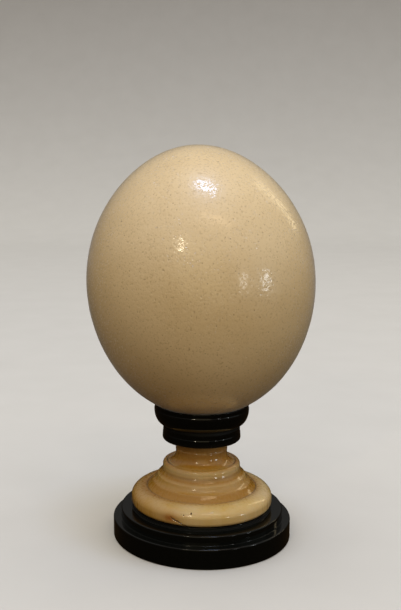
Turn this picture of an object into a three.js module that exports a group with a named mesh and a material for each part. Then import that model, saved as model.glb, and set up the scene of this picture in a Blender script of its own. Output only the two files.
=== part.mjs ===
// An ostrich egg standing upright on a turned stand: an ebonised cup holds the egg's lower end,
// an ivory-coloured pedestal carries the cup, and a stepped ebonised base carries the pedestal.
// Millimetres, +Z up. The origin is on the table, under the centre of the base.
import * as THREE from 'three';

// ---- Driving dimensions ----

const GAP = 0.3; // clearance between two pieces that touch
const EDGE = 0.6; // softened corner of the turned black pieces

// Base: a round plinth with one step, and a low platform on it that the pedestal stands on.
const BASE_RADIUS = 51.1;
const LEDGE_HEIGHT = 11.5;
const TIER_RADIUS = 46.5;
const TIER_HEIGHT = 16.9;
const PLATFORM_RADIUS = 39.3;
const BASE_HEIGHT = 18.6;

// Pedestal: a thick torus foot, two shallow cavettos, a bead ring, a dished cove and a neck.
const FOOT_SEAT_RADIUS = 38.1;
const TORUS_RADIUS = 40.5;
const TORUS_UNDER = 2.4;
const TORUS_SIDE_HIGH = 23.5;
const TORUS_TOP = 29.3;
const GROOVE_RADIUS = 31.4;
const GROOVE_HALF_WIDTH = 0.4;
const GROOVE_DEPTH = 0.6;
const RIDGE_RADIUS = 27.9;
const RIDGE_HEIGHT = 32.8;
const SHOULDER_RADIUS = 24.9;
const SHOULDER_HEIGHT = 36.6;
const RIDGE_ROUNDING = 0.4; // softened edge above each cavetto
const LOWER_HOLLOW = 0.12;
const UPPER_HOLLOW = 0.5;
const FILLET_RADIUS = 23.7;
const FILLET_HEIGHT = 37.7;
const RING_FOOT_HEIGHT = 39.5;
const RING_FOOT_RADIUS = 22.5;
const RING_RADIUS = 22.2;
const RING_HEIGHT = 42;
const RING_CREST_RADIUS = 20;
const RING_CREST_HEIGHT = 44.3;
const DISH_RADIUS = 19.1;
const DISH_HEIGHT = 43.6;
const DISH_HOLLOW = 1.9;
const NECK_COLLAR_RADIUS = 14.9;
const NECK_COLLAR_HEIGHT = 51.5;
const NECK_RADIUS = 14.5;
const COLLAR_STEP = 0.3;

// Cup: a drum that flares to its foot, an ovolo above it and a seat turned to the egg.
const CUP_BOTTOM = 57.2;
const CUP_UNDERSIDE_RADIUS = 21.3;
const CUP_FLARE_RADIUS = 22.35;
const CUP_FLARE_HEIGHT = 58.8;
const CUP_FLARE_ROUNDING = 0.4;
const DRUM_RADIUS = 22;
const DRUM_TOP = 66.4;
const DRUM_HOLLOW = 0.12;
const OVOLO_FOOT_RADIUS = 22.45;
const OVOLO_FOOT_HEIGHT = 66.7;
const CUP_RADIUS = 27.05;
const CUP_WIDEST_HEIGHT = 75;
const LIP_RADIUS = 26.7;
const LIP_HEIGHT = 78.2;
const LIP_ROUNDING = 0.2;
const LIP_THICKNESS = 0.3; // flat between the lip's crest and the edge of the seat
const SEAT_CENTRE_HEIGHT = 127.85;
const SEAT_RADIUS = 56.4;

// Turned tenons that centre one piece in the next.
const FOOT_TENON_RADIUS = 12;
const CUP_TENON_RADIUS = 7;
const TENON_LENGTH = 5;

// Egg: length and width, how narrow its ends are, and how it leans in its seat.
const EGG_LENGTH = 151.6;
const EGG_WIDTH = 127.4;
const EGG_END_TAPER = 0.0244;
const EGG_TOP_TAPER = 0.0466;
const EGG_LEAN_DEG = 3;
const EGG_SEAT_CLEARANCE = 0.4;

// How finely the turned pieces are divided around their axis, and the egg from end to end.
const EGG_SIDES = 52;
const EGG_RINGS = 26;
const STAND_SIDES = 44;
const BASE_SIDES = 52;

// ---- Materials ----

const eggshell = new THREE.MeshStandardMaterial({ color: 0xd3be97, roughness: 0.38, metalness: 0 });
const ivory = new THREE.MeshStandardMaterial({ color: 0xb08f5c, roughness: 0.25, metalness: 0 });
const ebonised = new THREE.MeshStandardMaterial({ color: 0x0d0b0a, roughness: 0.18, metalness: 0 });

// ---- Profiles ----

// The outline of a turned piece in the (radius, height) plane, drawn from its foot up.
class Profile {
  constructor(radius, height) {
    this.points = [new THREE.Vector2(radius, height)];
  }

  lineTo(radius, height) {
    this.points.push(new THREE.Vector2(radius, height));
    return this;
  }

  // A curve to the given point that stands proud of the straight line by "bulge" at its middle,
  // or is hollowed by it where the bulge is negative.
  curveTo(radius, height, bulge, steps) {
    const from = this.points.at(-1).clone();
    const to = new THREE.Vector2(radius, height);
    const along = to.clone().sub(from);
    const outward = new THREE.Vector2(along.y, -along.x).normalize();
    for (let i = 1; i <= steps; i++) {
      const t = i / steps;
      const rise = 4 * bulge * t * (1 - t);
      this.points.push(from.clone().addScaledVector(along, t).addScaledVector(outward, rise));
    }
    return this;
  }

  // Part of an ellipse about a centre. Angles are in degrees: 0 points outwards and 90 upwards.
  ellipse(centreRadius, centreHeight, radiusAcross, radiusUp, fromDeg, toDeg, steps) {
    for (let i = 0; i <= steps; i++) {
      const angle = THREE.MathUtils.degToRad(THREE.MathUtils.lerp(fromDeg, toDeg, i / steps));
      const radius = centreRadius + radiusAcross * Math.cos(angle);
      const height = centreHeight + radiusUp * Math.sin(angle);
      this.lineTo(radius, height);
    }
    return this;
  }

  // The profile turned about the upright axis.
  turn(sides) {
    return new THREE.LatheGeometry(this.points, sides).rotateX(Math.PI / 2);
  }
}

function namedMesh(name, geometry, material) {
  const mesh = new THREE.Mesh(geometry, material);
  mesh.name = name;
  return mesh;
}

// ---- Pieces ----

function makeBase() {
  const socketRadius = FOOT_TENON_RADIUS + GAP;
  const socketFloor = BASE_HEIGHT - TENON_LENGTH - GAP;
  return new Profile(0, 0)
    .lineTo(BASE_RADIUS - EDGE, 0)
    .lineTo(BASE_RADIUS, EDGE)
    .lineTo(BASE_RADIUS, LEDGE_HEIGHT - EDGE)
    .curveTo(BASE_RADIUS - EDGE, LEDGE_HEIGHT, EDGE / 4, 2)
    .lineTo(TIER_RADIUS, LEDGE_HEIGHT)
    .lineTo(TIER_RADIUS, TIER_HEIGHT - EDGE)
    .curveTo(TIER_RADIUS - EDGE, TIER_HEIGHT, EDGE / 4, 2)
    .lineTo(PLATFORM_RADIUS, TIER_HEIGHT)
    .lineTo(PLATFORM_RADIUS, BASE_HEIGHT)
    .lineTo(socketRadius, BASE_HEIGHT)
    .lineTo(socketRadius, socketFloor)
    .lineTo(0, socketFloor)
    .turn(BASE_SIDES);
}

function makePedestal() {
  const bottom = BASE_HEIGHT + GAP;
  const top = CUP_BOTTOM - GAP;
  const outline = new Profile(0, bottom - TENON_LENGTH)
    .lineTo(FOOT_TENON_RADIUS, bottom - TENON_LENGTH)
    .lineTo(FOOT_TENON_RADIUS, bottom)
    .ellipse(FOOT_SEAT_RADIUS, bottom + TORUS_UNDER, TORUS_UNDER, TORUS_UNDER, -90, 0, 4);
  // The torus, from its side over its top to the incised groove.
  const torusInner = GROOVE_RADIUS + GROOVE_HALF_WIDTH;
  const torusAcross = TORUS_RADIUS - torusInner;
  const torusRise = TORUS_TOP - TORUS_SIDE_HIGH;
  outline
    .ellipse(torusInner, TORUS_SIDE_HIGH, torusAcross, torusRise, 0, 90, 7)
    .lineTo(GROOVE_RADIUS, TORUS_TOP - GROOVE_DEPTH)
    .lineTo(GROOVE_RADIUS - GROOVE_HALF_WIDTH, TORUS_TOP)
    .curveTo(RIDGE_RADIUS + RIDGE_ROUNDING, RIDGE_HEIGHT - RIDGE_ROUNDING, -LOWER_HOLLOW, 3)
    .lineTo(RIDGE_RADIUS, RIDGE_HEIGHT)
    .curveTo(SHOULDER_RADIUS + RIDGE_ROUNDING, SHOULDER_HEIGHT - RIDGE_ROUNDING, -UPPER_HOLLOW, 3)
    .lineTo(SHOULDER_RADIUS, SHOULDER_HEIGHT)
    .lineTo(FILLET_RADIUS, FILLET_HEIGHT)
    .lineTo(RING_FOOT_RADIUS, RING_FOOT_HEIGHT);
  // The bead ring, the dish inside it and the neck that rises from the dish.
  const ringAcross = RING_RADIUS - RING_CREST_RADIUS;
  const ringRise = RING_CREST_HEIGHT - RING_HEIGHT;
  return outline
    .ellipse(RING_CREST_RADIUS, RING_HEIGHT, ringAcross, ringRise, -20, 90, 5)
    .lineTo(DISH_RADIUS, DISH_HEIGHT)
    .curveTo(NECK_COLLAR_RADIUS, NECK_COLLAR_HEIGHT, -DISH_HOLLOW, 6)
    .lineTo(NECK_RADIUS, NECK_COLLAR_HEIGHT + COLLAR_STEP)
    .lineTo(NECK_RADIUS, top)
    .lineTo(CUP_TENON_RADIUS, top)
    .lineTo(CUP_TENON_RADIUS, top + TENON_LENGTH)
    .lineTo(0, top + TENON_LENGTH)
    .turn(STAND_SIDES);
}

function makeCup() {
  const socketRadius = CUP_TENON_RADIUS + GAP;
  const socketCeiling = CUP_BOTTOM + TENON_LENGTH;
  const ovoloAcross = CUP_RADIUS - OVOLO_FOOT_RADIUS;
  const ovoloRise = CUP_WIDEST_HEIGHT - OVOLO_FOOT_HEIGHT;
  // The seat is part of a sphere about the point that the egg rolls around when it leans.
  const seatEdge = Math.acos((LIP_RADIUS - LIP_THICKNESS) / SEAT_RADIUS);
  const seatEdgeDeg = -THREE.MathUtils.radToDeg(seatEdge);
  return new Profile(0, socketCeiling)
    .lineTo(socketRadius, socketCeiling)
    .lineTo(socketRadius, CUP_BOTTOM)
    .lineTo(CUP_UNDERSIDE_RADIUS, CUP_BOTTOM)
    .curveTo(CUP_FLARE_RADIUS, CUP_FLARE_HEIGHT, CUP_FLARE_ROUNDING, 3)
    .curveTo(DRUM_RADIUS, DRUM_TOP, -DRUM_HOLLOW, 4)
    .ellipse(OVOLO_FOOT_RADIUS, CUP_WIDEST_HEIGHT, ovoloAcross, ovoloRise, -90, 0, 6)
    .curveTo(LIP_RADIUS, LIP_HEIGHT, LIP_ROUNDING, 3)
    .ellipse(0, SEAT_CENTRE_HEIGHT, SEAT_RADIUS, SEAT_RADIUS, seatEdgeDeg, -90, 5)
    .turn(STAND_SIDES);
}

// The egg's radius at a place along its axis, from -1 at the lower end to 1 at the upper end.
function eggRadius(place) {
  const fullness = 1 - EGG_END_TAPER * place ** 2 - EGG_TOP_TAPER * place ** 3;
  return (EGG_WIDTH / 2) * Math.sqrt(Math.max(0, 1 - place ** 2)) * fullness;
}

function makeEgg() {
  const outline = new Profile(0, -EGG_LENGTH / 2);
  for (let i = 1; i < EGG_RINGS; i++) {
    const place = -Math.cos((Math.PI * i) / EGG_RINGS);
    outline.lineTo(eggRadius(place), (EGG_LENGTH / 2) * place);
  }
  return outline.lineTo(0, EGG_LENGTH / 2).turn(EGG_SIDES);
}

// ---- Assembly ----

const object = new THREE.Group();
object.add(namedMesh('base', makeBase(), ebonised));
object.add(namedMesh('pedestal', makePedestal(), ivory));
object.add(namedMesh('cup', makeCup(), ebonised));

// The egg rests in the seat and leans a little to -X about the seat's centre.
const seatCentre = new THREE.Group();
seatCentre.position.z = SEAT_CENTRE_HEIGHT;
seatCentre.rotation.y = -THREE.MathUtils.degToRad(EGG_LEAN_DEG);
const egg = namedMesh('egg', makeEgg(), eggshell);
egg.position.z = EGG_LENGTH / 2 - (SEAT_RADIUS - EGG_SEAT_CLEARANCE);
seatCentre.add(egg);
object.add(seatCentre);

export default object;
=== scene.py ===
"""The looks of an ostrich egg on a turned stand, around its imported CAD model.

The shapes are worked out in millimetres, with the CAD model's own dimensions, and turned into
metres where a mesh is made. Azimuths are measured from the front, -Y, and grow towards +X.
"""

import math
import random

import bmesh
import bpy
import numpy as np
from mathutils import Matrix, Quaternion, Vector, noise


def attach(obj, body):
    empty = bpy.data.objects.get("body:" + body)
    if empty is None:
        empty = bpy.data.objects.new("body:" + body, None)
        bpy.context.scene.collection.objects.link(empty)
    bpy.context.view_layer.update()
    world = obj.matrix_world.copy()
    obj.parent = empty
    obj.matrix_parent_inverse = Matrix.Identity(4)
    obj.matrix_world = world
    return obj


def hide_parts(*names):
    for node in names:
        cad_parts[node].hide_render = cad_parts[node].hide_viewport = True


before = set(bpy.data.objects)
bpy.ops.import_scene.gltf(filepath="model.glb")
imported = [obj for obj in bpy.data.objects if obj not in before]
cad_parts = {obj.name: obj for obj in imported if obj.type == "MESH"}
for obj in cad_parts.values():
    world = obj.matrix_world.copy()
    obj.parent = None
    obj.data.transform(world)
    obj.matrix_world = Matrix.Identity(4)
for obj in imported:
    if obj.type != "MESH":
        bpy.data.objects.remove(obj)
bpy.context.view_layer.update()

MM = 0.001

# ---- Driving dimensions, in millimetres ----

GAP = 0.3  # clearance between two pieces that touch
EDGE = 0.6  # softened corner of the turned black pieces

# Base: a round plinth with one step, and a low platform on it that the pedestal stands on.
BASE_RADIUS = 51.1
LEDGE_HEIGHT = 11.5
TIER_RADIUS = 46.5
TIER_HEIGHT = 16.9
PLATFORM_RADIUS = 39.3
BASE_HEIGHT = 18.6

# Pedestal: a thick torus foot, two shallow cavettos, a bead ring, a dished cove and a neck.
FOOT_SEAT_RADIUS = 38.1
TORUS_RADIUS = 40.5
TORUS_UNDER = 2.4
TORUS_SIDE_HIGH = 23.5
TORUS_TOP = 29.3
GROOVE_RADIUS = 31.4
GROOVE_HALF_WIDTH = 0.4
GROOVE_DEPTH = 0.6
RIDGE_RADIUS = 27.9
RIDGE_HEIGHT = 32.8
SHOULDER_RADIUS = 24.9
SHOULDER_HEIGHT = 36.6
RIDGE_ROUNDING = 0.4
LOWER_HOLLOW = 0.12
UPPER_HOLLOW = 0.5
FILLET_RADIUS = 23.7
FILLET_HEIGHT = 37.7
RING_FOOT_HEIGHT = 39.5
RING_FOOT_RADIUS = 22.5
RING_RADIUS = 22.2
RING_HEIGHT = 42
RING_START_DEG = -20  # where the ring's round side begins, below its middle
RING_CREST_RADIUS = 20
RING_CREST_HEIGHT = 44.3
DISH_RADIUS = 19.1
DISH_HEIGHT = 43.6
DISH_HOLLOW = 1.9
NECK_COLLAR_RADIUS = 14.9
NECK_COLLAR_HEIGHT = 51.5
NECK_RADIUS = 14.5
COLLAR_STEP = 0.3

# Cup: a drum that flares to its foot, an ovolo above it and a seat turned to the egg.
CUP_BOTTOM = 57.2
CUP_UNDERSIDE_RADIUS = 21.3
CUP_FLARE_RADIUS = 22.35
CUP_FLARE_HEIGHT = 58.8
CUP_FLARE_ROUNDING = 0.4
DRUM_RADIUS = 22
DRUM_TOP = 66.4
DRUM_ARRIS_HEIGHT = 61.6  # where the drum begins to flare
OVOLO_FOOT_RADIUS = 22.45
OVOLO_FOOT_HEIGHT = 66.7
CUP_RADIUS = 27.05
CUP_WIDEST_HEIGHT = 75
LIP_RADIUS = 26.7
LIP_HEIGHT = 78.2
LIP_ARRIS_HEIGHT = 75.5
ARRIS = 0.2  # softened step at the cup's two arrises
LIP_THICKNESS = 0.3
SEAT_CENTRE_HEIGHT = 127.85
SEAT_RADIUS = 56.4

# Turned tenons that centre one piece in the next.
FOOT_TENON_RADIUS = 12
CUP_TENON_RADIUS = 7
TENON_LENGTH = 5

# Egg.
EGG_LENGTH = 151.6
EGG_WIDTH = 127.4
EGG_END_TAPER = 0.0244
EGG_TOP_TAPER = 0.0466
EGG_LEAN_DEG = 3
EGG_SEAT_CLEARANCE = 0.4
EGG_CENTRE_HEIGHT = SEAT_CENTRE_HEIGHT + EGG_LENGTH / 2 - (SEAT_RADIUS - EGG_SEAT_CLEARANCE)

# ---- Surface detail, in millimetres ----

SHELL_DIVISIONS = 7  # of the icosphere that the shell is made from
SHELL_INSET = 0.15  # keeps the uneven shell inside its solid
SHELL_JITTER = 0.16  # how far a vertex wanders along the shell
SWELLS = 11.0  # length of the shell's broad unevenness
SWELL_HEIGHT = 0.05
DIMPLES = 3.6  # length of its fine unevenness
DIMPLE_HEIGHT = 0.014
SHELL_SEED = 11
PORE_RADIUS = 0.33
PORE_DEPTH = 0.07
PORE_SPREAD = (0.75, 1.25)  # a pore's size beside PORE_RADIUS
PORE_FAINTEST = 0.25  # the least of a pore's depth and darkness, beside the most
PORE_CHANCE = 0.6  # that a free vertex becomes a pore
PORE_CROWDING = 14.0  # size of the patches where pores stand closer
PORE_CROWDING_CHANCE = 0.6  # how much those patches change the chance
PORE_RIM_SHADE = 0.35  # how dark a pore's rim is beside its centre

STAND_COLUMNS = 192
ROUNDING_STEP = 0.1  # spacing of an outline's points while its corners are rounded
PEDESTAL_ROUNDING = 0.25
CUP_ROUNDING = 0.12
BASE_ROUNDING = 0.15
BEND_DEG = 4.0  # an outline keeps a point at each sharper bend
SAME_AZIMUTH = 1e-6  # in radians

# How far apart the rows of a turned mesh may be, where they show and where they don't.
PEDESTAL_ROW = 0.7
CUP_ROW = 0.5
BASE_ROW = 0.6
HIDDEN_ROW = 2.5
BASE_HIDDEN_ROW = 3.0
PEDESTAL_SHOWN_HEIGHT = BASE_HEIGHT + GAP + 0.2  # the pedestal shows above this
CUP_SHOWN_RADIUS = DRUM_RADIUS - 1.5  # the cup shows outside this
BASE_SHOWN_RADIUS = FOOT_SEAT_RADIUS - 4  # the base shows outside this
BASE_SHOWN_HEIGHT = 0.1  # and above this

LATHE_WAVE = 1.1  # spacing of the faint rings that the turning left
IVORY_RING_DEPTH = 0.012
EBONY_RING_DEPTH = 0.006
PEDESTAL_RING_SEED = 3.0
CUP_RING_SEED = 5.0
BASE_RING_SEED = 8.0

WORN_WIDTH = 0.7  # how far from a black corner its polish is rubbed
CUP_RECESS_WIDTH = 2.0  # how far the dull line under the ovolo spreads
BASE_RECESS_WIDTH = 0.9  # the same at the foot of the platform

# Marks on the torus foot's side. A place there is an azimuth in degrees and a height in mm.
FOOT_SIDE_RADIUS = GROOVE_RADIUS + 4  # the side lies outside this
CRACK_START = (-25.4, 23.9)
CRACK_END = (-10.6, 19.1)
CRACK_HALF_WIDTH = 0.5
CRACK_DEPTH = 0.7
CRACK_WANDER = 0.3
CRACK_WAVES = (23, 9)  # how fast it wanders along its length, in radians
CRACK_TAPER = (3, 8)  # how soon it is at its full depth, from its start and from its end
CRACK_WINDOW = (-30.0, -5.0)  # azimuths with closer columns
CRACK_COLUMN_DEG = 0.25
CRACK_HEIGHTS = (19, 28)  # heights with closer rows
CRACK_ROW = 0.2
PITS = (  # azimuth, height, radius and depth
    (-8.0, 26.6, 0.55, 0.5),
    (-13.8, 25.5, 0.45, 0.35),
    (-15.9, 25.9, 0.3, 0.2),
)
CRACK_DIRT = 2.4  # for a full depth of crack; 1 is all dirt
PIT_DIRT = 3.0  # for each mm of a pit's depth
STAIN = (-25.0, 23.0)  # middle of the stained patch
STAIN_SIZE = (4.2, 2.4)  # in mm, along the foot and up it
STAIN_STRENGTH = 0.9

# Lines round the pedestal: radius, height, strength and width in mm.
# These lines darken the groove and the places under the ring, the cup and the torus foot: painted
# shade, with some dirt.
GRIME_AND_SHADE_LINES = (
    (GROOVE_RADIUS, TORUS_TOP - GROOVE_DEPTH, 0.6, 0.5),
    (RING_FOOT_RADIUS, RING_FOOT_HEIGHT, 0.3, 1.0),
    (NECK_RADIUS, CUP_BOTTOM, 0.3, 2.0),
    (FOOT_SEAT_RADIUS, BASE_HEIGHT, 0.6, 1.6),
)
# Painted shade in the dish round the neck's collar, under the cup.
COLLAR_SHADE_LINE = (NECK_COLLAR_RADIUS, NECK_COLLAR_HEIGHT, 0.35, 7.0)
# Painted shade round the groove at the torus's top.
GROOVE_SHADE_LINE = (GROOVE_RADIUS, TORUS_TOP, 0.7, 3.0)

# How brown and dark the ivory is, from 0 to 1, at heights up the pedestal: its aged tone, with
# painted shade in the recesses and low on the foot.
AGE_AND_SHADE_BY_HEIGHT = (
    (BASE_HEIGHT, 0.5),
    (TORUS_SIDE_HIGH, 0.25),
    (TORUS_TOP, 0.0),
    (TORUS_TOP + 0.02, 1.0),
    (SHOULDER_HEIGHT, 0.58),
    (FILLET_HEIGHT, 1.0),
    (RING_FOOT_HEIGHT, 0.75),
    (RING_HEIGHT, 0.17),
    (DISH_HEIGHT + 1, 1.0),
    (NECK_COLLAR_HEIGHT, 0.7),
    (CUP_BOTTOM, 0.55),
)
# Painted shade on the pedestal's left side, away from the light.
LEFT_SHADE_START = 0.1  # how far round to the left the painted shade on its darker side begins, as a sine
LEFT_SHADE_OUTSIDE = 0.8  # how much painted shade that side has outside the groove
LEFT_SHADE_INSIDE = 0.1


# ---- Outlines and turned meshes ----


class Profile:
    """The outline of a turned piece in the (radius, height) plane, drawn from its foot up."""

    STEPS = 16

    def __init__(self, radius, height):
        self.points = [np.array((radius, height), float)]

    def line(self, radius, height):
        """A straight line to a point."""
        self.points.append(np.array((radius, height), float))
        return self

    def curve(self, radius, height, bulge):
        """A curve to a point that stands proud of the straight line by bulge at its middle."""
        start = self.points[-1]
        along = np.array((radius, height), float) - start
        outward = np.array((along[1], -along[0])) / np.linalg.norm(along)
        for t in np.linspace(0, 1, self.STEPS + 1)[1:]:
            self.points.append(start + along * t + outward * 4 * bulge * t * (1 - t))
        return self

    def ellipse(self, centre_radius, centre_height, across, up, from_deg, to_deg):
        """Part of an ellipse about a centre: 0 degrees points outwards and 90 upwards."""
        for angle in np.radians(np.linspace(from_deg, to_deg, self.STEPS * 2)):
            self.line(centre_radius + across * math.cos(angle), centre_height + up * math.sin(angle))
        return self

    def rounded(self, rounding, gap):
        """The outline as an array, its corners rounded over about `rounding` mm. Its points are at
        most gap(radius, height) apart, and closer where it bends."""
        points = np.array(self.points)
        lengths = np.linalg.norm(np.diff(points, axis=0), axis=1)
        place = np.concatenate(([0], np.cumsum(lengths)))
        even = np.linspace(0, place[-1], int(place[-1] / ROUNDING_STEP))
        dense = np.stack([np.interp(even, place, points[:, i]) for i in (0, 1)], axis=1)
        for _ in range(round((rounding / ROUNDING_STEP) ** 2 * 2)):
            dense[1:-1] = dense[1:-1] / 2 + (dense[:-2] + dense[2:]) / 4
        return thinned(dense, gap)


def thinned(points, gap):
    """The points that are needed: each bend of over BEND_DEG, and one in each gap."""
    kept = [0]
    for i in range(1, len(points) - 1):
        before = points[kept[-1] + 1] - points[kept[-1]]
        after = points[i + 1] - points[i]
        turn = math.atan2(before[0] * after[1] - before[1] * after[0], before @ after)
        far = np.linalg.norm(points[i + 1] - points[kept[-1]])
        if abs(math.degrees(turn)) > BEND_DEG or far > gap(*points[i]):
            kept.append(i)
    kept.append(len(points) - 1)
    return points[kept]


def even_columns(count):
    """Azimuths that are evenly spaced, in radians."""
    return np.arange(count) * (2 * math.pi / count)


def columns_with_window(count, window_deg, step_deg):
    """Evenly spaced azimuths, with closer ones inside a window."""
    low, high = np.radians(window_deg)
    even = (even_columns(count) + math.pi) % (2 * math.pi) - math.pi
    outside = even[(even < low - SAME_AZIMUTH) | (even > high + SAME_AZIMUTH)]
    inside = np.arange(low, high, math.radians(step_deg))
    return np.sort(np.concatenate((outside, inside)))


class Turned:
    """A closed turned surface: a grid of vertices, with one more on the axis at each end. Its
    relief(azimuth, radius, height) is how far it stands out from its outline."""

    def __init__(self, outline, columns, relief):
        self.low, self.high = outline[0], outline[-1]
        rows = outline[1:-1]
        tangent = outline[2:] - outline[:-2]
        tangent /= np.linalg.norm(tangent, axis=1)[:, None]
        shape = (len(rows), len(columns))
        self.azimuth = np.broadcast_to(columns[None, :], shape)
        self.radius = np.broadcast_to(rows[:, :1], shape)
        self.height = np.broadcast_to(rows[:, 1:], shape)
        raised = relief(self.azimuth, self.radius, self.height)
        out_radius = self.radius + raised * tangent[:, 1:]
        out_height = self.height - raised * tangent[:, :1]
        self.x = out_radius * np.sin(self.azimuth)
        self.y = -out_radius * np.cos(self.azimuth)
        self.z = np.maximum(out_height, outline[:, 1].min())

    def vertices(self):
        grid = np.stack((self.x, self.y, self.z), axis=-1).reshape(-1, 3)
        ends = np.array(((0, 0, self.low[1]), (0, 0, self.high[1])))
        return np.concatenate((grid, ends))

    def faces(self):
        rows, columns = self.x.shape
        index = np.arange(rows * columns).reshape(rows, columns)
        beside = np.roll(index, -1, axis=1)
        quads = np.stack((index[:-1], beside[:-1], beside[1:], index[1:]), axis=-1)
        faces = quads.reshape(-1, 4).tolist()
        low, high = rows * columns, rows * columns + 1
        faces += [(low, b, a) for a, b in zip(index[0].tolist(), beside[0].tolist())]
        faces += [(high, a, b) for a, b in zip(index[-1].tolist(), beside[-1].tolist())]
        return faces

    def near(self, radius, height, width):
        """1 at a line that runs round the piece, fading to 0 over about its width."""
        return np.exp(-((self.radius - radius) ** 2 + (self.height - height) ** 2) / width**2)

    def line(self, radius, height, strength, width):
        """A mark of some strength along such a line."""
        return strength * self.near(radius, height, width)

    def marks(self, values):
        """One value for each vertex, from a grid of values."""
        return np.concatenate((np.broadcast_to(values, self.x.shape).reshape(-1), (0, 0)))


def make_object(name, points, faces, material, node):
    """A smooth mesh object, given in millimetres, that stands for its CAD node."""
    mesh = bpy.data.meshes.new(name)
    mesh.from_pydata((np.asarray(points) * MM).tolist(), [], faces)
    mesh.polygons.foreach_set("use_smooth", [True] * len(mesh.polygons))
    mesh.materials.append(material)
    piece = bpy.data.objects.new(name, mesh)
    bpy.context.scene.collection.objects.link(piece)
    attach(piece, "root")
    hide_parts(node)
    return piece


def mark(piece, name, values):
    """Keeps one number per vertex for the piece's material to read."""
    attribute = piece.data.attributes.new(name, "FLOAT", "POINT")
    attribute.data.foreach_set("value", np.asarray(values, np.float32))


def lathe_rings(height, radius, seed, depth):
    """The faint rings left by turning, the same all round the piece."""
    out = np.empty(height.shape[0])
    for i, (r, z) in enumerate(zip(radius[:, 0], height[:, 0])):
        out[i] = noise.noise(Vector((r / LATHE_WAVE, z / LATHE_WAVE, seed)))
    return depth * out[:, None]


# ---- Material nodes ----


class Shader:
    """A material being wired up. Its methods add a node and give back the node's output."""

    def __init__(self, name, **surface):
        self.material = bpy.data.materials.new(name)
        self.material.use_nodes = True
        self.tree = self.material.node_tree
        self.surface = self.tree.nodes["Principled BSDF"]
        for key, value in surface.items():
            self.set(self.surface, key.replace("_", " "), value)

    def set(self, node, key, value):
        """Wires a socket to another one, or gives it a plain value."""
        socket = node.inputs[key]
        if isinstance(value, bpy.types.NodeSocket):
            self.tree.links.new(value, socket)
        else:
            socket.default_value = value

    def node(self, kind, inputs, **settings):
        """A new node with its inputs and its options set."""
        made = self.tree.nodes.new(kind)
        for key, value in settings.items():
            setattr(made, key, value)
        for key, value in inputs.items():
            self.set(made, key, value)
        return made

    def place(self, scale=(1, 1, 1)):
        """Where a point is on its piece, in metres, stretched by a scale."""
        where = self.tree.nodes.new("ShaderNodeTexCoord").outputs["Object"]
        return self.node("ShaderNodeMapping", {"Vector": where, "Scale": scale}).outputs[0]

    def attribute(self, name):
        """A number that mark() keeps on each vertex."""
        return self.node("ShaderNodeAttribute", {}, attribute_name=name).outputs["Fac"]

    def noise(self, size, detail, place=None, rough=0.5):
        """Soft noise from 0 to 1 whose lumps are about `size` metres across."""
        inputs = {"Scale": 1 / size, "Detail": detail, "Roughness": rough}
        inputs["Vector"] = place or self.place()
        return self.node("ShaderNodeTexNoise", inputs).outputs["Fac"]

    def cells(self, size):
        """How far a point is from the nearest of many scattered ones, in units of `size` metres."""
        inputs = {"Scale": 1 / size, "Vector": self.place()}
        return self.node("ShaderNodeTexVoronoi", inputs).outputs["Distance"]

    def remap(self, value, low, high, to_low=0.0, to_high=1.0):
        """A value moved from one range to another, and kept inside it."""
        inputs = {"Value": value, "From Min": low, "From Max": high}
        inputs |= {"To Min": to_low, "To Max": to_high}
        return self.node("ShaderNodeMapRange", inputs, clamp=True).outputs["Result"]

    def math(self, operation, a, b):
        return self.node("ShaderNodeMath", {0: a, 1: b}, operation=operation).outputs[0]

    def mix(self, share, a, b):
        """Colour a with a share of colour b. The node has sockets of one name for each kind of
        value, so the enabled ones are looked for."""
        made = self.tree.nodes.new("ShaderNodeMix")
        made.data_type = "RGBA"
        for key, value in (("Factor", share), ("A", a), ("B", b)):
            socket = next(s for s in made.inputs if s.name == key and s.enabled)
            if isinstance(value, bpy.types.NodeSocket):
                self.tree.links.new(value, socket)
            else:
                socket.default_value = value
        return next(s for s in made.outputs if s.enabled)

    def bump(self, height, distance, strength=1.0, under=None):
        """Fine relief: a height from 0 to 1 that stands for `distance` metres."""
        inputs = {"Height": height, "Distance": distance, "Strength": strength}
        if under is not None:
            inputs["Normal"] = under
        return self.node("ShaderNodeBump", inputs).outputs["Normal"]


def colour(red, green, blue):
    return (red, green, blue, 1.0)


# ---- Materials ----

SHELL_CREAM = colour(0.66, 0.50, 0.285)
SHELL_TAN = colour(0.58, 0.42, 0.215)
SHELL_PORE = colour(0.13, 0.075, 0.03)
SHELL_FLECK = colour(0.36, 0.24, 0.11)
IVORY_PALE = colour(0.54, 0.415, 0.235)
IVORY_WARM = colour(0.50, 0.345, 0.12)
# The ivory's aged, stain and grime colours also paint shade: in its recesses, under the cup and on
# its left side.
IVORY_AGED_AND_SHADED = colour(0.30, 0.147, 0.018)
IVORY_STAIN_AND_SHADE = colour(0.24, 0.08, 0.012)
IVORY_GRIME_AND_SHADE = colour(0.045, 0.018, 0.006)
EBONY = colour(0.0020, 0.0023, 0.0018)
EBONY_WORN = colour(0.006, 0.005, 0.0042)
FLOOR_PALE = colour(0.50, 0.48, 0.45)
FLOOR_MARK = colour(0.46, 0.44, 0.41)

# How large the patterns are and how deep the fine relief is, in metres.
SHELL_MOTTLING = 0.045
SHELL_CLOUDS = 0.0032
SHELL_FLECKS = 0.0012
SHELL_PRICKS = 0.0015
SHELL_PRICK_DEPTH = 0.0003
SHELL_PEEL = 0.0022
SHELL_PEEL_DEPTH = 0.0001
IVORY_CLOUDS = 0.014
IVORY_GROWTH = 0.0016
IVORY_GROWTH_DEPTH = 0.00003
EBONY_CLOUDS = 0.009
EBONY_GRAIN = 0.0009
EBONY_GRAIN_DEPTH = 0.00002
FLOOR_CLOUDS = 0.05

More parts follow.
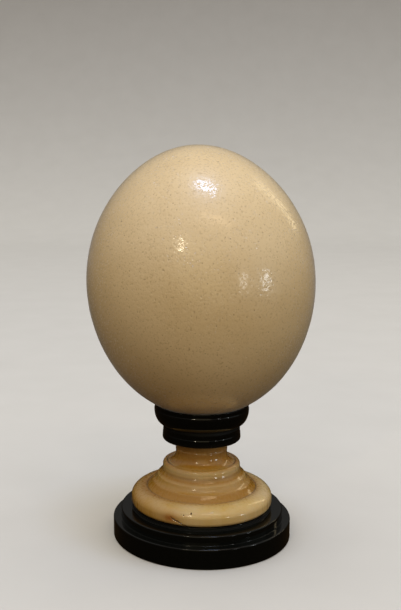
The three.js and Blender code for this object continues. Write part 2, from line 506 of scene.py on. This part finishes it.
# How much of each pattern's colour shows, and the smoothest and roughest of each surface.
SHELL_CLOUD_SHARE = 0.22
SHELL_FLECK_SHARE = 0.45
SHELL_PRICK_SHARE = 0.12
SHELL_PORE_SHARE = 0.75
IVORY_GROWTH_SHARE = 0.15
EBONY_GRAIN_SHARE = 0.35
SHELL_ROUGHNESS = (0.38, 0.46)
IVORY_ROUGHNESS = (0.24, 0.34)
EBONY_ROUGHNESS = (0.08, 0.13)


def eggshell_material():
    """A satin cream shell: broad mottling, fine flecks and pricks, and dark pores where the pits
    are, under a gloss that the pricks break up and with a faint sheen at the rim."""
    shader = Shader(
        "eggshell",
        Coat_Weight=1.0,
        Coat_Roughness=0.17,
        Sheen_Weight=0.35,
        Sheen_Roughness=0.25,
    )
    broad = shader.remap(shader.noise(SHELL_MOTTLING, 3.0), 0.3, 0.7)
    fine = shader.remap(shader.noise(SHELL_CLOUDS, 3.0, rough=0.6), 0.3, 0.7)
    tone = shader.mix(broad, SHELL_CREAM, SHELL_TAN)
    tone = shader.mix(shader.math("MULTIPLY", fine, SHELL_CLOUD_SHARE), tone, SHELL_TAN)
    flecks = shader.remap(shader.noise(SHELL_FLECKS, 1.0), 0.60, 0.72)
    tone = shader.mix(shader.math("MULTIPLY", flecks, SHELL_FLECK_SHARE), tone, SHELL_FLECK)
    pricks = shader.remap(shader.cells(SHELL_PRICKS), 0.12, 0.42)
    tone = shader.mix(shader.remap(pricks, 0.0, 1.0, SHELL_PRICK_SHARE, 0.0), tone, SHELL_FLECK)
    pores = shader.remap(shader.attribute("pore"), 0.25, 0.75)
    tone = shader.mix(shader.math("MULTIPLY", pores, SHELL_PORE_SHARE), tone, SHELL_PORE)
    shader.set(shader.surface, "Base Color", tone)
    shader.set(shader.surface, "Roughness", shader.remap(fine, 0.0, 1.0, *SHELL_ROUGHNESS))
    peel = shader.bump(shader.noise(SHELL_PEEL, 2.0), SHELL_PEEL_DEPTH)
    pricked = shader.bump(pricks, SHELL_PRICK_DEPTH, under=peel)
    shader.set(shader.surface, "Normal", peel)
    shader.set(shader.surface, "Coat Normal", pricked)
    return shader.material


def ivory_material():
    """Old polished ivory: warm and slightly see-through, with growth lines, stains and grime, and
    painted shade in its recesses, under the cup and on its left side.
    """
    shader = Shader(
        "ivory",
        Coat_Weight=0.9,
        Coat_Roughness=0.12,
        Specular_IOR_Level=0.15,
        Subsurface_Weight=0.18,
        Subsurface_Radius=(1.0, 0.6, 0.3),
        Subsurface_Scale=0.0025,
    )
    clouds = shader.remap(shader.noise(IVORY_CLOUDS, 3.0), 0.32, 0.68)
    upright = shader.place((1.0, 1.0, 0.12))
    growth = shader.remap(shader.noise(IVORY_GROWTH, 3.0, upright), 0.35, 0.65)
    tone = shader.mix(clouds, IVORY_PALE, IVORY_WARM)
    tone = shader.mix(shader.math("MULTIPLY", growth, IVORY_GROWTH_SHARE), tone, IVORY_WARM)
    # The aged tone, with painted shade in the recesses, low on the foot and on the left side.
    tone = shader.mix(shader.attribute("age_and_shade"), tone, IVORY_AGED_AND_SHADED)
    # The crack's stain, and painted shade in the dish under the cup.
    tone = shader.mix(shader.attribute("stain_and_shade"), tone, IVORY_STAIN_AND_SHADE)
    # Dirt, and painted shade in the recesses and under the pieces above.
    tone = shader.mix(shader.attribute("grime_and_shade"), tone, IVORY_GRIME_AND_SHADE)
    shader.set(shader.surface, "Base Color", tone)
    shader.set(shader.surface, "Roughness", shader.remap(growth, 0.0, 1.0, *IVORY_ROUGHNESS))
    shader.set(shader.surface, "Normal", shader.bump(growth, IVORY_GROWTH_DEPTH, 0.4))
    return shader.material


def ebonised_material():
    """Black polished wood: a trace of brown grain, uneven polish, slightly rubbed edges and a
    dull recess."""
    shader = Shader("ebonised_wood", Specular_IOR_Level=0.3)
    along = shader.place((1.0, 0.15, 1.0))
    grain = shader.remap(shader.noise(EBONY_GRAIN, 3.0, along), 0.4, 0.75)
    clouds = shader.remap(shader.noise(EBONY_CLOUDS, 3.0), 0.4, 0.7)
    worn = shader.attribute("worn")
    rubbed = shader.math("MULTIPLY", worn, shader.remap(clouds, 0.0, 1.0, 0.3, 1.0))
    shade = shader.math("MAXIMUM", rubbed, shader.math("MULTIPLY", grain, EBONY_GRAIN_SHARE))
    shader.set(shader.surface, "Base Color", shader.mix(shade, EBONY, EBONY_WORN))
    polished = shader.remap(clouds, 0.0, 1.0, *EBONY_ROUGHNESS)
    rough = shader.math("MAXIMUM", polished, shader.attribute("dull"))
    shader.set(shader.surface, "Roughness", rough)
    shader.set(shader.surface, "Normal", shader.bump(grain, EBONY_GRAIN_DEPTH, 0.3))
    return shader.material


# ---- The egg ----


def shell_points(sphere):
    """Points on a unit sphere, moved to the egg's surface."""
    place = sphere[:, 2:]
    fullness = 1 - EGG_END_TAPER * place**2 - EGG_TOP_TAPER * place**3
    across = (EGG_WIDTH / 2) * fullness * sphere[:, :2]
    return np.concatenate((across, (EGG_LENGTH / 2) * place), axis=1)


def shell_normals(points):
    """The directions that point out of the shell, to within a degree or so."""
    slope = points / np.array((EGG_WIDTH, EGG_WIDTH, EGG_LENGTH)) ** 2
    return slope / np.linalg.norm(slope, axis=1)[:, None]


def icosphere():
    """The vertices and faces of a sphere of even triangles."""
    bm = bmesh.new()
    bmesh.ops.create_icosphere(bm, subdivisions=SHELL_DIVISIONS, radius=1)
    vertices = np.array([tuple(v.co.normalized()) for v in bm.verts])
    faces = [tuple(v.index for v in f.verts) for f in bm.faces]
    bm.free()
    return vertices, faces


def unevenness(points):
    """How far the shell swells and dips, below the inset that keeps it in its solid."""
    out = np.empty(len(points))
    for i, point in enumerate(points):
        where = Vector(point)
        swell = SWELL_HEIGHT * noise.noise(where / SWELLS)
        out[i] = swell + DIMPLE_HEIGHT * noise.noise(where / DIMPLES)
    return out - SHELL_INSET


def rings_around(faces, count):
    """For each vertex, the vertices around it, in turn and counter-clockwise seen from outside."""
    after = [{} for _ in range(count)]
    for a, b, c in faces:
        after[a][b] = c
        after[b][c] = a
        after[c][a] = b
    rings = []
    for step in after:
        first = here = next(iter(step))
        ring = [first]
        while (here := step[here]) != first:
            ring.append(here)
        rings.append(ring)
    return rings


def pick_pores(points, rings, chance):
    """Vertices to sink pores at, none beside another, and more of them in some patches."""
    order = list(range(len(points)))
    chance.shuffle(order)
    blocked = set()
    pores = []
    for index in order:
        crowding = noise.noise(Vector(points[index]) / PORE_CROWDING)
        likely = PORE_CHANCE + PORE_CROWDING_CHANCE * crowding
        if index in blocked or chance.random() > likely:
            continue
        pores.append(index)
        blocked.update(rings[index])
    return pores


def sink_pores(points, faces, chance):
    """Turns some of the shell's vertices into small pits. Gives the new points and faces, and how
    dark each point is."""
    rings = rings_around(faces, len(points))
    pores = pick_pores(points, rings, chance)
    normals = shell_normals(points)
    points = [Vector(p) for p in points]
    shade = [0.0] * len(points)
    sunk = set(pores)
    faces = [face for face in faces if sunk.isdisjoint(face)]
    for pore in pores:
        strength = PORE_FAINTEST + (1 - PORE_FAINTEST) * chance.random() ** 2
        width = PORE_RADIUS * chance.uniform(*PORE_SPREAD)
        centre = points[pore]
        around = rings[pore]
        rim = range(len(points), len(points) + len(around))
        for near in around:
            away = points[near] - centre
            points.append(centre + away.normalized() * width * chance.uniform(*PORE_SPREAD))
            shade.append(PORE_RIM_SHADE * strength)
        points[pore] = centre - Vector(normals[pore]) * PORE_DEPTH * strength
        shade[pore] = strength
        for i in range(len(around)):
            j = (i + 1) % len(around)
            faces.append((rim[i], around[i], around[j], rim[j]))
            faces.append((pore, rim[i], rim[j]))
    return np.array([tuple(p) for p in points]), faces, shade


def make_egg():
    """The egg, leaning a little in its seat, with its pores sunk into an uneven shell."""
    chance = random.Random(SHELL_SEED)
    sphere, faces = icosphere()
    points = shell_points(sphere)
    wander = np.array([[chance.gauss(0, SHELL_JITTER) for _ in range(3)] for _ in points])
    normals = shell_normals(points)
    wander -= normals * (wander * normals).sum(axis=1)[:, None]
    points = points + wander + normals * unevenness(points)[:, None]
    points, faces, shade = sink_pores(points, faces, chance)
    points[:, 2] += EGG_CENTRE_HEIGHT - SEAT_CENTRE_HEIGHT
    lean = np.array(Matrix.Rotation(-math.radians(EGG_LEAN_DEG), 3, "Y"))
    points = points @ lean.T
    points[:, 2] += SEAT_CENTRE_HEIGHT
    egg = make_object("eggshell", points, faces, eggshell_material(), "egg")
    mark(egg, "pore", shade)


# ---- The pedestal ----


def pedestal_profile():
    """From the tenon in the base, over the foot, ring and neck, to the tenon in the cup."""
    bottom = BASE_HEIGHT + GAP
    top = CUP_BOTTOM - GAP
    inner = GROOVE_RADIUS + GROOVE_HALF_WIDTH
    outline = Profile(0, bottom - TENON_LENGTH)
    outline.line(FOOT_TENON_RADIUS, bottom - TENON_LENGTH)
    outline.line(FOOT_TENON_RADIUS, bottom)
    outline.ellipse(FOOT_SEAT_RADIUS, bottom + TORUS_UNDER, TORUS_UNDER, TORUS_UNDER, -90, 0)
    outline.ellipse(inner, TORUS_SIDE_HIGH, TORUS_RADIUS - inner, TORUS_TOP - TORUS_SIDE_HIGH, 0, 90)
    outline.line(GROOVE_RADIUS, TORUS_TOP - GROOVE_DEPTH)
    outline.line(GROOVE_RADIUS - GROOVE_HALF_WIDTH, TORUS_TOP)
    outline.curve(RIDGE_RADIUS + RIDGE_ROUNDING, RIDGE_HEIGHT - RIDGE_ROUNDING, -LOWER_HOLLOW)
    outline.line(RIDGE_RADIUS, RIDGE_HEIGHT)
    outline.curve(SHOULDER_RADIUS + RIDGE_ROUNDING, SHOULDER_HEIGHT - RIDGE_ROUNDING, -UPPER_HOLLOW)
    outline.line(SHOULDER_RADIUS, SHOULDER_HEIGHT)
    outline.line(FILLET_RADIUS, FILLET_HEIGHT)
    outline.line(RING_FOOT_RADIUS, RING_FOOT_HEIGHT)
    ring_across = RING_RADIUS - RING_CREST_RADIUS
    ring_up = RING_CREST_HEIGHT - RING_HEIGHT
    outline.ellipse(RING_CREST_RADIUS, RING_HEIGHT, ring_across, ring_up, RING_START_DEG, 90)
    outline.line(DISH_RADIUS, DISH_HEIGHT)
    outline.curve(NECK_COLLAR_RADIUS, NECK_COLLAR_HEIGHT, -DISH_HOLLOW)
    outline.line(NECK_RADIUS, NECK_COLLAR_HEIGHT + COLLAR_STEP)
    outline.line(NECK_RADIUS, top)
    outline.line(CUP_TENON_RADIUS, top)
    outline.line(CUP_TENON_RADIUS, top + TENON_LENGTH)
    return outline.line(0, top + TENON_LENGTH)


def pedestal_gap(radius, height):
    """How far apart the pedestal's rows may be: closest round the crack, widest where hidden."""
    hidden = height < PEDESTAL_SHOWN_HEIGHT or height > CUP_BOTTOM - GAP
    cracked = on_foot(radius) and CRACK_HEIGHTS[0] < height < CRACK_HEIGHTS[1]
    return HIDDEN_ROW if hidden else CRACK_ROW if cracked else PEDESTAL_ROW


def crack_depth(azimuth, height):
    """How deep the crack is at a place on the foot's side."""
    along = azimuth * TORUS_RADIUS
    start = np.array((math.radians(CRACK_START[0]) * TORUS_RADIUS, CRACK_START[1]))
    end = np.array((math.radians(CRACK_END[0]) * TORUS_RADIUS, CRACK_END[1]))
    length = np.linalg.norm(end - start)
    direction = (end - start) / length
    travel = ((along - start[0]) * direction[0] + (height - start[1]) * direction[1]) / length
    beside = (height - start[1]) * direction[0] - (along - start[0]) * direction[1]
    wander = CRACK_WANDER * np.sin(travel * CRACK_WAVES[0]) * np.sin(travel * CRACK_WAVES[1] + 1)
    taper = np.clip(np.minimum(travel * CRACK_TAPER[0], (1 - travel) * CRACK_TAPER[1]), 0, 1)
    return CRACK_DEPTH * taper * np.clip(1 - np.abs(beside - wander) / CRACK_HALF_WIDTH, 0, 1)


def pit_depth(azimuth, height):
    """How deep the small pits beside the crack are."""
    deep = np.zeros(azimuth.shape)
    for at_deg, at_height, radius, depth in PITS:
        across = (azimuth - math.radians(at_deg)) * TORUS_RADIUS
        away = np.hypot(across, height - at_height) / radius
        deep = np.maximum(deep, depth * np.clip(1 - away**2, 0, 1))
    return deep


def on_foot(radius):
    """Whether a place is on the torus foot's side."""
    return radius > FOOT_SIDE_RADIUS


def pedestal_relief(azimuth, radius, height):
    """How far the pedestal's surface stands out from its outline."""
    harm = crack_depth(azimuth, height) + pit_depth(azimuth, height)
    rings = lathe_rings(height, radius, PEDESTAL_RING_SEED, IVORY_RING_DEPTH)
    return rings - harm * on_foot(radius)


def pedestal_grime_and_shade(turned):
    """Darkening along the pedestal's recesses and under the cup, the ring and the torus foot:
    painted shade with some dirt. Dark dirt in its crack and its pits.
    """
    grime_and_shade = sum(turned.line(*line) for line in GRIME_AND_SHADE_LINES)
    cracked = crack_depth(turned.azimuth, turned.height) / CRACK_DEPTH
    pitted = pit_depth(turned.azimuth, turned.height)
    harm = np.maximum(cracked * CRACK_DIRT, pitted * PIT_DIRT)
    return np.clip(grime_and_shade + harm * on_foot(turned.radius), 0, 1)


def pedestal_stain_and_shade(turned):
    """The orange-brown stain round the crack, and painted shade in the dish round the neck's collar,
    under the cup.
    """
    across = (turned.azimuth - np.radians(STAIN[0])) * TORUS_RADIUS / STAIN_SIZE[0]
    up = (turned.height - STAIN[1]) / STAIN_SIZE[1]
    patch = STAIN_STRENGTH * np.exp(-(across**2) - up**2)
    return np.clip(patch * on_foot(turned.radius) + turned.line(*COLLAR_SHADE_LINE), 0, 1)


def pedestal_age_and_shade(turned):
    """How brown and dark the ivory is: its aged tone, with painted shade in the recesses, low on the
    foot and on the left side; least on the torus top and the ring.
    """
    upward = np.interp(turned.height, *zip(*AGE_AND_SHADE_BY_HEIGHT))
    left = np.clip(-np.sin(turned.azimuth) - LEFT_SHADE_START, 0, 1)
    left *= np.where(turned.radius > GROOVE_RADIUS, LEFT_SHADE_OUTSIDE, LEFT_SHADE_INSIDE)
    return np.clip(upward + turned.line(*GROOVE_SHADE_LINE) + left, 0, 1)


def make_pedestal():
    """The ivory-coloured pedestal, with its crack, pits, stains and dirt, and painted shade in its
    recesses and on its left side.
    """
    outline = pedestal_profile().rounded(PEDESTAL_ROUNDING, pedestal_gap)
    columns = columns_with_window(STAND_COLUMNS, CRACK_WINDOW, CRACK_COLUMN_DEG)
    turned = Turned(outline, columns, pedestal_relief)
    pedestal = make_object(
        "ivory_pedestal", turned.vertices(), turned.faces(), ivory_material(), "pedestal"
    )
    mark(pedestal, "grime_and_shade", turned.marks(pedestal_grime_and_shade(turned)))
    mark(pedestal, "stain_and_shade", turned.marks(pedestal_stain_and_shade(turned)))
    mark(pedestal, "age_and_shade", turned.marks(pedestal_age_and_shade(turned)))


# ---- The black pieces ----


def cup_profile():
    """From the socket for the pedestal's tenon, up the outside, and down into the seat."""
    socket_radius = CUP_TENON_RADIUS + GAP
    socket_ceiling = CUP_BOTTOM + TENON_LENGTH
    ovolo_across = CUP_RADIUS - OVOLO_FOOT_RADIUS
    ovolo_up = CUP_WIDEST_HEIGHT - OVOLO_FOOT_HEIGHT
    seat_edge = -math.degrees(math.acos((LIP_RADIUS - LIP_THICKNESS) / SEAT_RADIUS))
    outline = Profile(0, socket_ceiling)
    outline.line(socket_radius, socket_ceiling)
    outline.line(socket_radius, CUP_BOTTOM)
    outline.line(CUP_UNDERSIDE_RADIUS, CUP_BOTTOM)
    outline.curve(CUP_FLARE_RADIUS, CUP_FLARE_HEIGHT, CUP_FLARE_ROUNDING)
    outline.line(DRUM_RADIUS + ARRIS, DRUM_ARRIS_HEIGHT)
    outline.line(DRUM_RADIUS, DRUM_ARRIS_HEIGHT + ARRIS)
    outline.line(DRUM_RADIUS, DRUM_TOP)
    outline.ellipse(OVOLO_FOOT_RADIUS, CUP_WIDEST_HEIGHT, ovolo_across, ovolo_up, -90, 0)
    outline.line(CUP_RADIUS, LIP_ARRIS_HEIGHT)
    outline.line(CUP_RADIUS - ARRIS, LIP_ARRIS_HEIGHT + ARRIS)
    outline.line(LIP_RADIUS, LIP_HEIGHT)
    return outline.ellipse(0, SEAT_CENTRE_HEIGHT, SEAT_RADIUS, SEAT_RADIUS, seat_edge, -90)


def base_profile():
    """From the underside, up the steps, to the socket for the pedestal's tenon."""
    socket_radius = FOOT_TENON_RADIUS + GAP
    socket_floor = BASE_HEIGHT - TENON_LENGTH - GAP
    outline = Profile(0, 0)
    outline.line(BASE_RADIUS - EDGE, 0)
    outline.line(BASE_RADIUS, EDGE)
    outline.line(BASE_RADIUS, LEDGE_HEIGHT - EDGE)
    outline.curve(BASE_RADIUS - EDGE, LEDGE_HEIGHT, EDGE / 4)
    outline.line(TIER_RADIUS, LEDGE_HEIGHT)
    outline.line(TIER_RADIUS, TIER_HEIGHT - EDGE)
    outline.curve(TIER_RADIUS - EDGE, TIER_HEIGHT, EDGE / 4)
    outline.line(PLATFORM_RADIUS, TIER_HEIGHT)
    outline.line(PLATFORM_RADIUS, BASE_HEIGHT)
    outline.line(socket_radius, BASE_HEIGHT)
    outline.line(socket_radius, socket_floor)
    return outline.line(0, socket_floor)


def cup_gap(radius, height):
    """How far apart the cup's rows may be: its socket and its seat don't show."""
    return CUP_ROW if radius > CUP_SHOWN_RADIUS else HIDDEN_ROW


def base_gap(radius, height):
    """How far apart the base's rows may be: its underside and socket don't show."""
    shown = height > BASE_SHOWN_HEIGHT and radius > BASE_SHOWN_RADIUS
    return BASE_ROW if shown else BASE_HIDDEN_ROW


def make_black_piece(name, node, outline, corners, recess, seed):
    """A turned piece of ebonised wood, rubbed a little at its corners, each a radius and a height,
    and dull in one recess, a radius, a height and a width."""

    def relief(azimuth, radius, height):
        return lathe_rings(height, radius, seed, EBONY_RING_DEPTH)

    turned = Turned(outline, even_columns(STAND_COLUMNS), relief)
    piece = make_object(
        name, turned.vertices(), turned.faces(), ebonised_material(), node
    )
    worn = sum(turned.near(radius, height, WORN_WIDTH) for radius, height in corners)
    mark(piece, "worn", turned.marks(np.clip(worn, 0, 1)))
    mark(piece, "dull", turned.marks(turned.near(*recess)))


def make_cup():
    """The black cup, dull under its ovolo."""
    corners = (
        (CUP_FLARE_RADIUS, CUP_FLARE_HEIGHT),
        (CUP_RADIUS, CUP_WIDEST_HEIGHT),
        (LIP_RADIUS, LIP_HEIGHT),
    )
    outline = cup_profile().rounded(CUP_ROUNDING, cup_gap)
    recess = (DRUM_RADIUS + 1, DRUM_TOP, CUP_RECESS_WIDTH)
    make_black_piece("ebonised_cup", "cup", outline, corners, recess, CUP_RING_SEED)


def make_base():
    """The black base, dull at the foot of its platform."""
    corners = (
        (BASE_RADIUS, LEDGE_HEIGHT),
        (TIER_RADIUS, TIER_HEIGHT),
        (PLATFORM_RADIUS, BASE_HEIGHT),
    )
    outline = base_profile().rounded(BASE_ROUNDING, base_gap)
    recess = (PLATFORM_RADIUS, TIER_HEIGHT, BASE_RECESS_WIDTH)
    make_black_piece("ebonised_base", "base", outline, corners, recess, BASE_RING_SEED)


# ---- Camera, light and floor, in metres ----

CAMERA_PLACE = Vector((0.0, -0.4997, 0.2162))
CAMERA_PITCH_DEG = 9.29  # downwards
CAMERA_YAW_DEG = -4.01
CAMERA_ROLL_DEG = -0.48
CAMERA_LENS = 53.03  # in mm
CAMERA_SENSOR = 36.0  # in mm, along the picture's longer side
CAMERA_SHIFT = 0.0997  # of that side; the picture is the right-hand part of a wider one

EGG_MIDDLE = Vector((0.0, 0.0, EGG_CENTRE_HEIGHT * MM))
ROOM_WALL = colour(0.515, 0.485, 0.445)  # what the camera sees of the room
ROOM_ABOVE = colour(1.95, 1.93, 1.85)
ROOM_AROUND = colour(0.05, 0.03, 0.02)
ROOM_BELOW = colour(0.09, 0.05, 0.02)
ROOM_AROUND_PLACE = 0.56  # from 0, straight down, to 1, straight up
ROOM_BELOW_PLACE = 0.44
ROOM_GLOSS = 0.25  # how bright the room is in reflections, beside the light it gives
FLOOR_REACH = 4.0  # forwards and to each side
BACKDROP_PLACE = 1.7  # where the floor begins to rise
BACKDROP_BEND = 0.9  # radius of the bend between the floor and the backdrop
BACKDROP_STEPS = 24
BACKDROP_HEIGHT = 3.0


def make_camera():
    """The camera at the photograph's viewing angle."""
    pitch, yaw, roll = map(math.radians, (CAMERA_PITCH_DEG, CAMERA_YAW_DEG, CAMERA_ROLL_DEG))
    flat = math.cos(pitch)
    ahead = Vector((math.sin(yaw) * flat, math.cos(yaw) * flat, -math.sin(pitch)))
    level = ahead.cross(Vector((0, 0, 1))).normalized()
    upright = level.cross(ahead)
    right = level * math.cos(roll) + upright * math.sin(roll)
    up = upright * math.cos(roll) - level * math.sin(roll)
    camera = bpy.data.objects.new("camera", bpy.data.cameras.new("camera"))
    axes = Matrix((right, up, -ahead)).transposed().to_4x4()
    camera.matrix_world = Matrix.Translation(CAMERA_PLACE) @ axes
    camera.data.sensor_width = CAMERA_SENSOR
    camera.data.lens = CAMERA_LENS
    camera.data.shift_x = CAMERA_SHIFT
    bpy.context.scene.collection.objects.link(camera)
    bpy.context.scene.camera = camera


def make_panel(name, towards, distance, size, power, tint, turn_deg=0):
    """A soft rectangular light in a direction seen from the middle of the egg, turned about its
    own axis."""
    data = bpy.data.lights.new(name, "AREA")
    data.shape = "RECTANGLE"
    data.size, data.size_y = size
    data.energy = power
    data.color = tint
    panel = bpy.data.objects.new(name, data)
    away = Vector(towards).normalized()
    panel.location = EGG_MIDDLE + away * distance
    panel.rotation_mode = "QUATERNION"
    turn = Quaternion((0, 0, 1), math.radians(turn_deg))
    panel.rotation_quaternion = away.to_track_quat("Z", "Y") @ turn
    panel.visible_camera = False
    bpy.context.scene.collection.objects.link(panel)


def make_lights():
    """The room's lamps and windows, where the egg mirrors them, and two large soft fills. Each has
    a direction, a distance, a width and height in metres, a power in watts, a tint and a turn."""
    make_panel("ceiling", (0.10, -0.14, 0.985), 2.0, (0.55, 0.26), 11.0, (0.44, 0.62, 1.0), -57)
    make_panel("lamp_left", (-0.29, -0.81, 0.51), 1.5, (0.06, 0.13), 1.9, (1.0, 0.87, 0.65))
    make_panel("glow", (0.24, -0.585, 0.775), 1.5, (0.75, 0.2), 1.7, (1.0, 0.74, 0.45), -22)
    make_panel("window_right", (0.67, -0.74, 0.056), 3.0, (0.22, 0.45), 3.4, (1.0, 1.0, 0.95))
    make_panel("window_far_right", (0.908, -0.412, 0.039), 3.0, (0.22, 0.45), 5.4, (0.9, 0.97, 1.0))
    make_panel("behind_right", (0.685, 0.535, 0.49), 1.5, (0.14, 0.85), 1.2, (1.0, 0.82, 0.50))
    make_panel("room_front", (0.0, -0.95, 0.25), 2.5, (2.0, 2.0), 7.6, (1.0, 0.83, 0.46))
    make_panel("room_right", (0.95, -0.2, 0.25), 2.5, (2.0, 2.0), 3.2, (0.80, 0.95, 0.95))


def room_light(tree):
    """The light from all round: pale above, dark at the sides and below."""
    where = tree.nodes.new("ShaderNodeTexCoord")
    split = tree.nodes.new("ShaderNodeSeparateXYZ")
    ramp = tree.nodes.new("ShaderNodeValToRGB")
    height = tree.nodes.new("ShaderNodeMapRange")
    height.inputs["From Min"].default_value = -1
    tree.links.new(where.outputs["Generated"], split.inputs[0])
    tree.links.new(split.outputs["Z"], height.inputs["Value"])
    tree.links.new(height.outputs["Result"], ramp.inputs["Fac"])
    ramp.color_ramp.elements[0].position = ROOM_BELOW_PLACE
    ramp.color_ramp.elements[0].color = ROOM_BELOW
    ramp.color_ramp.elements[1].position = 1.0
    ramp.color_ramp.elements[1].color = ROOM_ABOVE
    ramp.color_ramp.elements.new(ROOM_AROUND_PLACE).color = ROOM_AROUND
    return ramp.outputs["Color"]


def make_room():
    """The room lights the pieces from all round, is dimmer in reflections, and is a plain wall to
    the camera."""
    world = bpy.data.worlds.new("room")
    bpy.context.scene.world = world
    world.use_nodes = True
    tree = world.node_tree
    ray = tree.nodes.new("ShaderNodeLightPath")
    seen = tree.nodes.new("ShaderNodeMixRGB")
    mirrored = tree.nodes.new("ShaderNodeMapRange")
    mirrored.inputs["To Min"].default_value = 1.0
    mirrored.inputs["To Max"].default_value = ROOM_GLOSS
    tree.links.new(ray.outputs["Is Glossy Ray"], mirrored.inputs["Value"])
    dimmed = tree.nodes.new("ShaderNodeVectorMath")
    dimmed.operation = "SCALE"
    tree.links.new(room_light(tree), dimmed.inputs[0])
    tree.links.new(mirrored.outputs["Result"], dimmed.inputs["Scale"])
    tree.links.new(ray.outputs["Is Camera Ray"], seen.inputs["Fac"])
    tree.links.new(dimmed.outputs["Vector"], seen.inputs["Color1"])
    seen.inputs["Color2"].default_value = ROOM_WALL
    tree.links.new(seen.outputs["Color"], tree.nodes["Background"].inputs["Color"])


def make_floor():
    """A plain pale floor that bends up into a backdrop. It neither lights the object nor shows in
    its reflections, because the photograph's table is dark."""
    shader = Shader("pale_floor", Roughness=0.7)
    tone = shader.mix(shader.noise(FLOOR_CLOUDS, 3.0), FLOOR_PALE, FLOOR_MARK)
    shader.set(shader.surface, "Base Color", tone)
    line = [(-FLOOR_REACH, 0.0)]
    for angle in np.linspace(0, math.pi / 2, BACKDROP_STEPS):
        back = BACKDROP_PLACE + BACKDROP_BEND * math.sin(angle)
        line.append((back, BACKDROP_BEND * (1 - math.cos(angle))))
    line.append((BACKDROP_PLACE + BACKDROP_BEND, BACKDROP_HEIGHT))
    points = [(side * FLOOR_REACH, y, z) for y, z in line for side in (-1, 1)]
    faces = [(2 * i, 2 * i + 1, 2 * i + 3, 2 * i + 2) for i in range(len(line) - 1)]
    mesh = bpy.data.meshes.new("floor")
    mesh.from_pydata(points, [], faces)
    mesh.polygons.foreach_set("use_smooth", [True] * len(mesh.polygons))
    mesh.materials.append(shader.material)
    floor = bpy.data.objects.new("floor", mesh)
    floor.visible_diffuse = False
    floor.visible_glossy = False
    bpy.context.scene.collection.objects.link(floor)


make_camera()
make_egg()
make_pedestal()
make_cup()
make_base()
make_lights()
make_room()
make_floor()
bpy.context.scene.view_settings.view_transform = "Standard"
